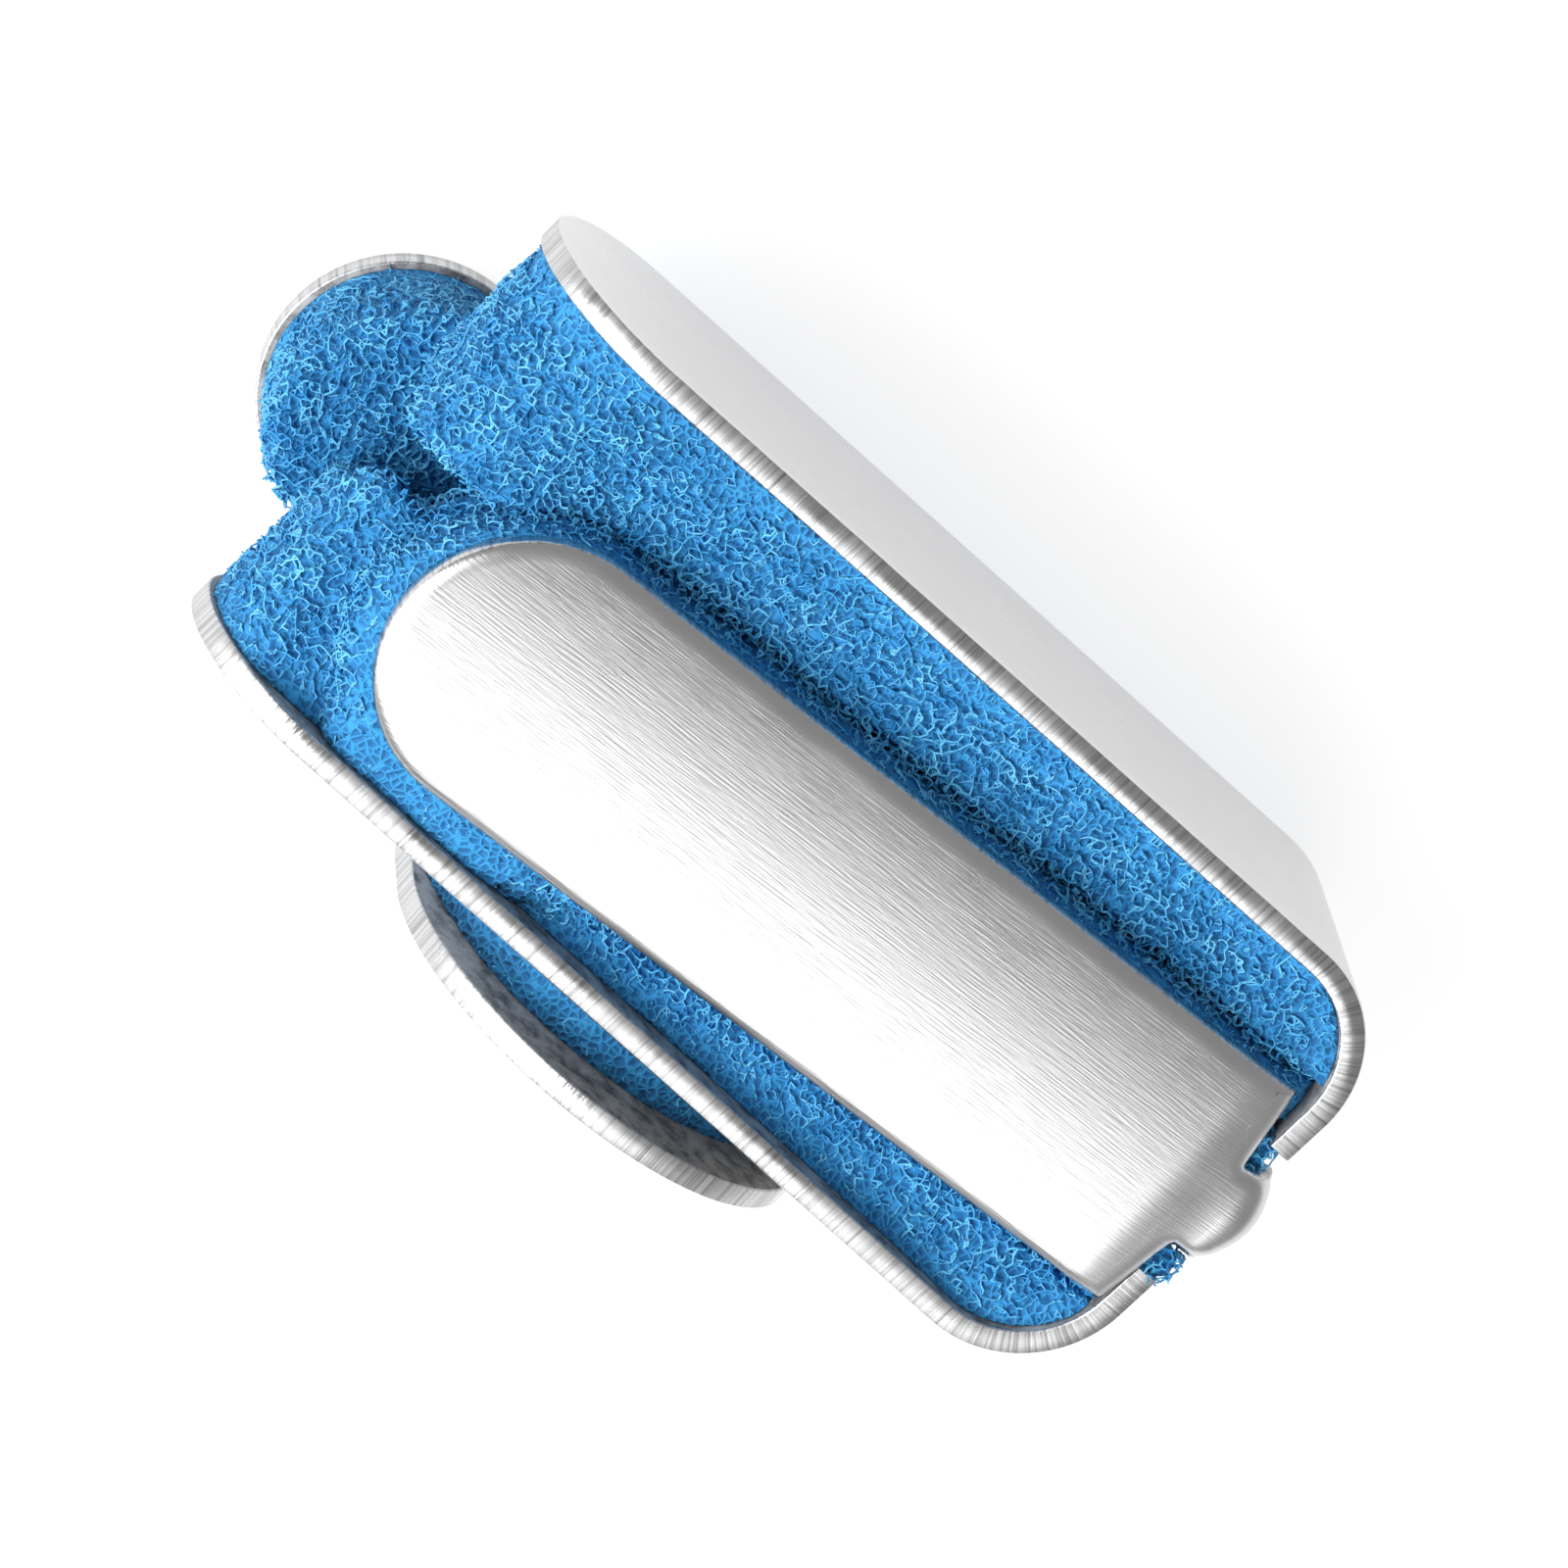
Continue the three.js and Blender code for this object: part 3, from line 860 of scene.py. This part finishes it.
def cad_tree(names, below=None):
    """A search tree over the plain faces of some CAD nodes, or over those below a height in mm."""
    bm = bmesh.new()
    for name in names:
        bm.from_mesh(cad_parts[name].data)
    if below is not None:
        high = [f for f in bm.faces if f.calc_center_median().z > below * MM]
        bmesh.ops.delete(bm, geom=high, context="FACES")
    tree = BVHTree.FromBMesh(bm)
    bm.free()
    return tree


def places_and_normals(mesh):
    """The vertices' places and normals, read once."""
    places = np.empty(len(mesh.vertices) * 3)
    mesh.vertices.foreach_get("co", places)
    normals = np.empty(len(mesh.vertices) * 3)
    mesh.vertex_normals.foreach_get("vector", normals)
    return places.reshape(-1, 3), normals.reshape(-1, 3)


def move_to(mesh, places):
    """Moves all the vertices at once."""
    mesh.vertices.foreach_set("co", np.array(places).ravel())
    mesh.update()


BLOCK_STEP = 0.4  # size of a pad's faces
NEAR_METAL = 2.5  # how far off the metal is looked for
WAVES = ((260.0, 0.13), (900.0, 0.09))  # how often per metre the surface waves, and how high in mm


def soft_body(node_name, foam, sheet, metal):
    """The pad's block with soft edges and a wavy surface, grown to lie against the metal."""
    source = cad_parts[node_name].data.copy()
    bm = bmesh.new()
    bm.from_mesh(source)
    bmesh.ops.remove_doubles(bm, verts=bm.verts, dist=2e-6)
    bmesh.ops.recalc_face_normals(bm, faces=bm.faces)
    bm.to_mesh(source)
    bm.free()
    source.materials.clear()
    obj = linked(node_name + "_block", source)
    remesh = obj.modifiers.new("even", "REMESH")
    remesh.mode = "VOXEL"
    remesh.voxel_size = BLOCK_STEP * MM
    soften = obj.modifiers.new("soften", "SMOOTH")
    soften.factor = 0.6
    soften.iterations = 9
    plain_mesh(obj)
    places, _ = places_and_normals(obj.data)
    move_to(obj.data, [as_pressed(node_name, Vector(place), sheet) for place in places])
    places, normals = places_and_normals(obj.data)
    seated, grown = [], []
    for place, normal in zip(places, normals):
        place, normal = Vector(place), Vector(normal)
        near, _, _, far = metal.find_nearest(place, NEAR_METAL * MM)
        share = 0.0
        if near is not None:
            toward = (near - place).normalized()
            share = smooth(-far / MM, -SEAT_FADE, -SEAT_REACH)
            share *= smooth(toward.dot(normal), -0.6, -0.15)
            if node_name == "top_pad" and place.x < HUB_FRONT * MM:
                share = 0.0
            place = place + toward * (far - SEAT_GAP * MM) * share
        seated.append(share)
        wave = sum(noise.noise(place * often) * height for often, height in WAVES)
        grown.append(place + normal * (foam.swell + wave) * MM * (1 - share))
    move_to(obj.data, grown)
    return obj, seated


COVERED = 0.85  # a face that is seated by more than this share may be covered by metal
COVER_RAY = 0.4  # and is, if metal is as near as this in front of it
LOOK_START = 0.5  # clear of the face itself


def skin_depths(mesh, seated, foam, metal, around, hollow_top):
    """How deep the open struts go at each triangle: none against metal, thin inside the hollow."""
    mesh.calc_loop_triangles()
    count = len(mesh.loop_triangles)
    corners = np.empty(count * 3, dtype=np.int32)
    mesh.loop_triangles.foreach_get("vertices", corners)
    corners = corners.reshape(-1, 3)
    points = np.empty(len(mesh.vertices) * 3)
    mesh.vertices.foreach_get("co", points)
    triangles = points.reshape(-1, 3)[corners]
    cross = np.cross(triangles[:, 1] - triangles[:, 0], triangles[:, 2] - triangles[:, 0])
    area = np.linalg.norm(cross, axis=1) / 2
    normals = cross / np.maximum(area * 2, 1e-20)[:, None]
    covered = np.array(seated)[corners].mean(axis=1) > COVERED
    depths = np.full(count, foam.skin_depth * MM)
    for i, (middle, normal) in enumerate(zip(triangles.mean(axis=1), normals)):
        if covered[i] and metal.ray_cast(middle, normal, COVER_RAY * MM)[0]:
            depths[i] = 0.0
        elif middle[2] < hollow_top * MM:
            start = middle + normal * LOOK_START * MM
            if around.ray_cast(start, normal, HOLLOW_REACH * MM)[0]:
                depths[i] = foam.hollow_depth * MM
    return triangles, normals, area, depths


CROWDING = 4  # points tried for each pore
NEIGHBOURS = 4  # the point itself and the three nearest to it
LONGEST_STRUT = 1.9  # in pores
SPUR_BAND = 0.2  # spurs grow only from points nearer to the surface than this
SPUR_SHARE = 0.3  # of those points
SPUR_SPREAD = 0.25  # how far their ends scatter


def foam_net(node_name, skin, foam, rng):
    """Points in the pad's skin joined to their neighbours, with cut ends that stand out."""
    triangles, normals, area, depths = skin
    pore = foam.pore * MM
    weight = area * depths
    tries = int(weight.sum() / pore ** 3 * CROWDING)
    chosen = rng.choice(len(weight), size=tries, p=weight / weight.sum())
    u, v = rng.random((2, tries, 1))
    fold = u + v > 1
    u, v = np.where(fold, 1 - u, u), np.where(fold, 1 - v, v)
    at = triangles[chosen]
    surface = at[:, 0] + u * (at[:, 1] - at[:, 0]) + v * (at[:, 2] - at[:, 0])
    sunk = rng.random((tries, 1)) * depths[chosen][:, None]
    points = surface - normals[chosen] * sunk
    cells = np.floor(points / pore + rng.random(3)).astype(np.int64)
    _, first = np.unique(cells, axis=0, return_index=True)
    points, out, sunk = points[first], normals[chosen][first], sunk[first, 0]
    tree = kdtree.KDTree(len(points))
    for i, point in enumerate(points):
        tree.insert(point, i)
    tree.balance()
    edges = set()
    for i, point in enumerate(points):
        for _, j, far in tree.find_n(point, NEIGHBOURS)[1:]:
            if far < LONGEST_STRUT * pore:
                edges.add((min(i, j), max(i, j)))
    top = np.nonzero(sunk < SPUR_BAND * MM)[0]
    top = top[rng.random(len(top)) < SPUR_SHARE]
    reach = foam.spur * MM * (0.3 + 0.9 * rng.random((len(top), 1)))
    spread = (rng.random((len(top), 3)) - 0.5) * SPUR_SPREAD * MM
    spurs = points[top] + out[top] * reach + spread
    edges.update((int(i), len(points) + k) for k, i in enumerate(top))
    points = np.vstack([points, spurs])
    mesh = bpy.data.meshes.new(node_name + "_net")
    mesh.from_pydata(points.tolist(), list(edges), [])
    return linked(node_name + "_net", mesh)


def sink(obj, seated, depth):
    """Draws the core in below the open struts, but not where it lies against the metal."""
    places, normals = places_and_normals(obj.data)
    move_to(obj.data, places - normals * depth * (1 - np.array(seated))[:, None])


def merged(name, parts):
    """One object from several, with each part's own materials."""
    bm = bmesh.new()
    materials = []
    for part in parts:
        before = len(bm.faces)
        bm.from_mesh(part.data)
        bm.faces.ensure_lookup_table()
        for material in part.data.materials:
            if material not in materials:
                materials.append(material)
        last = len(part.data.materials) - 1
        for f in bm.faces[before:]:
            own = part.data.materials[min(f.material_index, last)]
            f.material_index = materials.index(own)
    mesh = bpy.data.meshes.new(name)
    bm.to_mesh(mesh)
    bm.free()
    for material in materials:
        mesh.materials.append(material)
    for part in parts:
        bpy.data.objects.remove(part)
    return linked(name, mesh)


SHARP_ANGLE = 50  # degrees between two faces of the sheet, past which their edge is crisp
SEED = 41
METAL = "aluminium_sheet"
PADS = ("top_pad", "back_pad", "right_side_pad", "left_side_pad", "end_pad", "wing_pad")


class SPLINT_OT_sheet(bpy.types.Operator):
    """Builds the folded aluminium sheet with its rounded, sheared rims"""

    bl_idname = "splint.sheet"
    bl_label = "Aluminium sheet"

    def execute(self, context):
        sizes = in_mm(context.scene.splint_sheet)
        materials = [brushed_aluminium(context.scene.splint_finish), sheared_edge(), inner_face()]
        parts = [
            side_band(sizes, materials),
            top_prong(sizes, materials),
            back_prong(sizes, materials),
            side_wing(sizes, materials),
        ]
        sheet = joined("folded_sheet", parts)
        sheet.data.transform(Matrix.Translation(Vector((CENTRE.x, CENTRE.y, 0)) * MM))
        sheet.data.set_sharp_from_angle(angle=math.radians(SHARP_ANGLE))
        finish_piece(sheet, [METAL])
        return {"FINISHED"}


class SPLINT_OT_pads(bpy.types.Operator):
    """Builds the foam pads: a soft core under a net of open struts"""

    bl_idname = "splint.pads"
    bl_label = "Foam pads"

    def execute(self, context):
        foam = in_mm(context.scene.splint_foam)
        sheet = in_mm(context.scene.splint_sheet)
        finish = context.scene.splint_finish
        core_look, strut_look = foam_core_painted_shade(finish), foam_struts(finish)
        tree, radius_socket, seed_socket = strut_tree(strut_look)
        all_metal, side_metal = cad_tree([METAL]), cad_tree([METAL], sheet.side_top)
        for number, node_name in enumerate(PADS):
            metal = all_metal if node_name == "top_pad" else side_metal
            core, seated = soft_body(node_name, foam, sheet, metal)
            around = cad_tree([METAL] + [name for name in PADS if name != node_name])
            hollow_top = 0 if node_name == "wing_pad" else HOLLOW_TOP
            skin = skin_depths(core.data, seated, foam, metal, around, hollow_top)
            net = foam_net(node_name, skin, foam, np.random.default_rng(SEED + number))
            struts = net.modifiers.new("struts", "NODES")
            struts.node_group = tree
            struts[radius_socket] = foam.strut_radius * MM
            struts[seed_socket] = number
            plain_mesh(net)
            sink(core, seated, foam.core_depth * MM)
            core.data.materials.clear()
            core.data.materials.append(core_look)
            pad = merged(node_name + "_foam", [core, net])
            pad.data.shade_smooth()
            finish_piece(pad, [node_name])
        return {"FINISHED"}


# Stage

# The camera, fitted to the photo's edges, in mm and degrees
AIM = (0.46, -2.36, 11.78)
AZIMUTH, ELEVATION, ROLL = -35.27, 66.35, 169.26
DISTANCE, LENS, SENSOR = 336.6, 181.2, 36
FLOOR_HALF = 3000  # half the floor's side in mm
KEY_AIM = (0, 0, 10)
SOFTBOX = Vector((-0.25, 0.56, 0.79)).normalized()
SOFTBOX_EDGE, SOFTBOX_HEART = 30, 9  # degrees from its middle where it starts and where it is full
WALL_GLOW, SOFTBOX_GLOW = 0.33, 2.6


def look_from(azimuth, elevation):
    """The direction from the part towards a place round it, in degrees."""
    a, e = math.radians(azimuth), math.radians(elevation)
    return Vector((math.cos(e) * math.cos(a), math.cos(e) * math.sin(a), math.sin(e)))


def aimed(obj, back, distance, aim, roll=0.0):
    """Places a camera or a light on a line from aim, looking back at it."""
    right = Vector((0, 0, 1)).cross(back).normalized()
    up = back.cross(right)
    r = math.radians(roll)
    right, up = right * math.cos(r) + up * math.sin(r), up * math.cos(r) - right * math.sin(r)
    turn = Matrix((right, up, back)).transposed().to_4x4()
    obj.matrix_world = Matrix.Translation((Vector(aim) + back * distance) * MM) @ turn


def area_light(name, azimuth, elevation, distance, size, power):
    """A soft light aimed at the part, with its size and distance in mm."""
    light = bpy.data.lights.new(name, "AREA")
    light.shape = "RECTANGLE"
    light.size = size[0] * MM
    light.size_y = size[1] * MM
    light.energy = power
    obj = linked(name, light)
    aimed(obj, look_from(azimuth, elevation), distance, KEY_AIM)


def studio_world():
    """Grey walls under a broad soft light, which the metal mirrors."""
    world = bpy.data.worlds.new("studio")
    world.use_nodes = True
    nodes, links = world.node_tree.nodes, world.node_tree.links
    place = nodes.new("ShaderNodeTexCoord").outputs["Generated"]
    near = node(nodes, "ShaderNodeVectorMath", operation="DOT_PRODUCT")
    near.inputs[1].default_value = SOFTBOX
    links.new(place, near.inputs[0])
    glow = node(nodes, "ShaderNodeMapRange", interpolation_type="SMOOTHERSTEP")
    glow.inputs["From Min"].default_value = math.cos(math.radians(SOFTBOX_EDGE))
    glow.inputs["From Max"].default_value = math.cos(math.radians(SOFTBOX_HEART))
    glow.inputs["To Min"].default_value = WALL_GLOW
    glow.inputs["To Max"].default_value = SOFTBOX_GLOW
    links.new(near.outputs["Value"], glow.inputs["Value"])
    links.new(glow.outputs["Result"], nodes["Background"].inputs["Strength"])
    nodes["Background"].inputs["Color"].default_value = (1, 1, 1, 1)
    return world


def pale_floor():
    """A floor that glows slightly, so that it reads white as the photo's background does."""
    bm = bmesh.new()
    bmesh.ops.create_grid(bm, x_segments=1, y_segments=1, size=FLOOR_HALF * MM)
    mesh = bpy.data.meshes.new("floor")
    bm.to_mesh(mesh)
    bm.free()
    material, _, _, shader = new_material("pale_floor")
    shader.inputs["Base Color"].default_value = (0.3, 0.3, 0.3, 1)
    shader.inputs["Roughness"].default_value = 0.9
    shader.inputs["Emission Color"].default_value = (1, 1, 1, 1)
    shader.inputs["Emission Strength"].default_value = 0.8
    mesh.materials.append(material)
    return linked("floor", mesh)


def photo_camera():
    """The camera at the photo's angle."""
    data = bpy.data.cameras.new("camera")
    data.lens = LENS
    data.sensor_width = SENSOR
    data.clip_start = 0.01
    camera = linked("camera", data)
    aimed(camera, look_from(AZIMUTH, ELEVATION), DISTANCE, AIM, ROLL)
    return camera


class SPLINT_OT_stage(bpy.types.Operator):
    """Builds the pale floor, the soft studio light and the camera"""

    bl_idname = "splint.stage"
    bl_label = "Stage"

    def execute(self, context):
        scene = context.scene
        pale_floor()
        scene.world = studio_world()
        area_light("key", azimuth=35, elevation=42, distance=320, size=(300, 300), power=1.9)
        scene.camera = photo_camera()
        scene.view_settings.view_transform = "Standard"
        return {"FINISHED"}


class SPLINT_PT_panel(bpy.types.Panel):
    """Lists the splint's pieces"""

    bl_idname = "SPLINT_PT_panel"
    bl_label = "Finger splint"
    bl_space_type = "VIEW_3D"
    bl_region_type = "UI"
    bl_category = "Splint"

    def draw(self, context):
        layout = self.layout
        scene = context.scene
        for group in (scene.splint_sheet, scene.splint_foam, scene.splint_finish):
            for key in type(group).__annotations__:
                layout.prop(group, key)
        for operator in OPERATORS:
            layout.operator(operator.bl_idname)


OPERATORS = (SPLINT_OT_sheet, SPLINT_OT_pads, SPLINT_OT_stage)
CLASSES = (SplintSheetSizes, SplintFoamSizes, SplintFinish, *OPERATORS, SPLINT_PT_panel)


def register():
    for cls in CLASSES:
        bpy.utils.register_class(cls)
    bpy.types.Scene.splint_sheet = bpy.props.PointerProperty(type=SplintSheetSizes)
    bpy.types.Scene.splint_foam = bpy.props.PointerProperty(type=SplintFoamSizes)
    bpy.types.Scene.splint_finish = bpy.props.PointerProperty(type=SplintFinish)


def unregister():
    del bpy.types.Scene.splint_finish
    del bpy.types.Scene.splint_foam
    del bpy.types.Scene.splint_sheet
    for cls in reversed(CLASSES):
        bpy.utils.unregister_class(cls)


def main():
    register()
    bpy.ops.splint.stage()
    bpy.ops.splint.sheet()
    bpy.ops.splint.pads()


if __name__ == "__main__":
    main()
